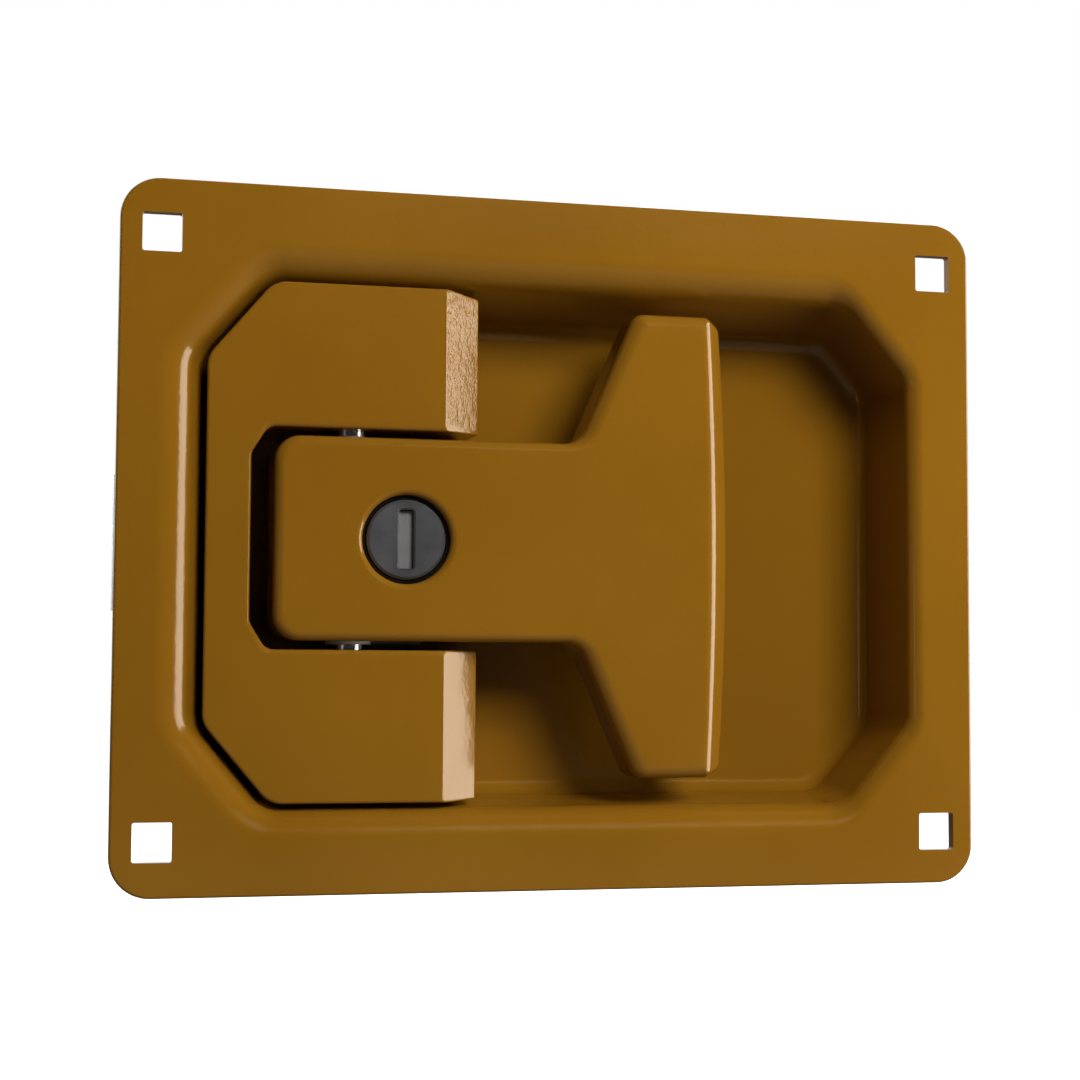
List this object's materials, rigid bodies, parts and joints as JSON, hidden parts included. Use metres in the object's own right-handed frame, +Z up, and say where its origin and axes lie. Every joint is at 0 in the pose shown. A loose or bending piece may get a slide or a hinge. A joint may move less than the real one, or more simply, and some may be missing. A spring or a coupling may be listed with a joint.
{
  "type": "excavator door lock",
  "caption": "Flush door lock with a recessed eight-sided pan, hinged T-handle, key cylinder and a sprung bevelled slam bolt behind the pan.",
  "frame": {"origin": "middle of the door's cut-out, on the flange's back face", "axes": "X runs to the right as seen from outside the door, Z runs up and Y runs into the machine"},
  "size_m": [0.153, 0.0362, 0.12],
  "materials": {
    "ochre_paint": "glossy sprayed paint with a slight orange peel",
    "zinc_plate": "zinc-plated steel sheet, satin",
    "bright_steel": "turned steel",
    "spring_steel": "oiled spring wire",
    "bolt_steel": "machined steel, greased",
    "cap_steel": "satin stainless cap",
    "shutter_steel": "stamped steel flap",
    "dark_zinc": "black-passivated casting, satin",
    "brass": "machined",
    "nylon": "moulded"
  },
  "bodies": {
    "frame": {"pan": "ochre_paint", "hinge_cover": "ochre_paint", "cover_screws": "zinc_plate", "hinge_pins": "bright_steel", "lock_keeper": "zinc_plate", "latch_housing": "zinc_plate", "housing_rivets": "zinc_plate", "spring_guide_rod": "bright_steel", "guide_rod_nut": "zinc_plate", "bolt_spring": "spring_steel"},
    "handle": {"handle_shell": "ochre_paint", "release_lever": "zinc_plate", "lever_screws": "zinc_plate", "pivot_bushes": "nylon", "lock_barrel": "dark_zinc", "barrel_clip": "spring_steel"},
    "plug": {"key_plug": "brass", "plug_cap": "cap_steel", "wafer_tumblers": "brass", "shutter_pin": "bright_steel", "lock_tongue": "zinc_plate", "tongue_washer": "zinc_plate", "tongue_screw": "zinc_plate"},
    "shutter": {"key_shutter": "shutter_steel"},
    "bolt": {"latch_bolt": "bolt_steel"}
  },
  "joints": [
    {"name": "handle_pivot", "type": "hinge", "parent": "frame", "child": "handle", "pos_m": [-0.0364, 0.0062, 0], "axis": [0, 0, -1], "range_deg": [0, 35]},
    {"name": "bolt_slide", "type": "slide", "parent": "frame", "child": "bolt", "axis": [1, 0, 0], "range_m": [0, 0.013], "stiffness_N_per_m": 500, "springref_m": -0.008, "deforming": ["bolt_spring"]},
    {"name": "key_turn", "type": "hinge", "parent": "handle", "child": "plug", "pos_m": [-0.0276, 0, 0], "axis": [0, 1, 0], "range_deg": [0, 90]},
    {"name": "shutter_swing", "type": "hinge", "parent": "plug", "child": "shutter", "pos_m": [-0.02905, 0.00045, 0], "axis": [0, 0, 1], "range_deg": [0, 70], "stiffness_Nm_per_rad": 0.0001, "springref_deg": -28.65}
  ],
  "couplings": [
    {"joint": "bolt_slide", "follows": "handle_pivot", "m_per_rad": 0.021}
  ]
}
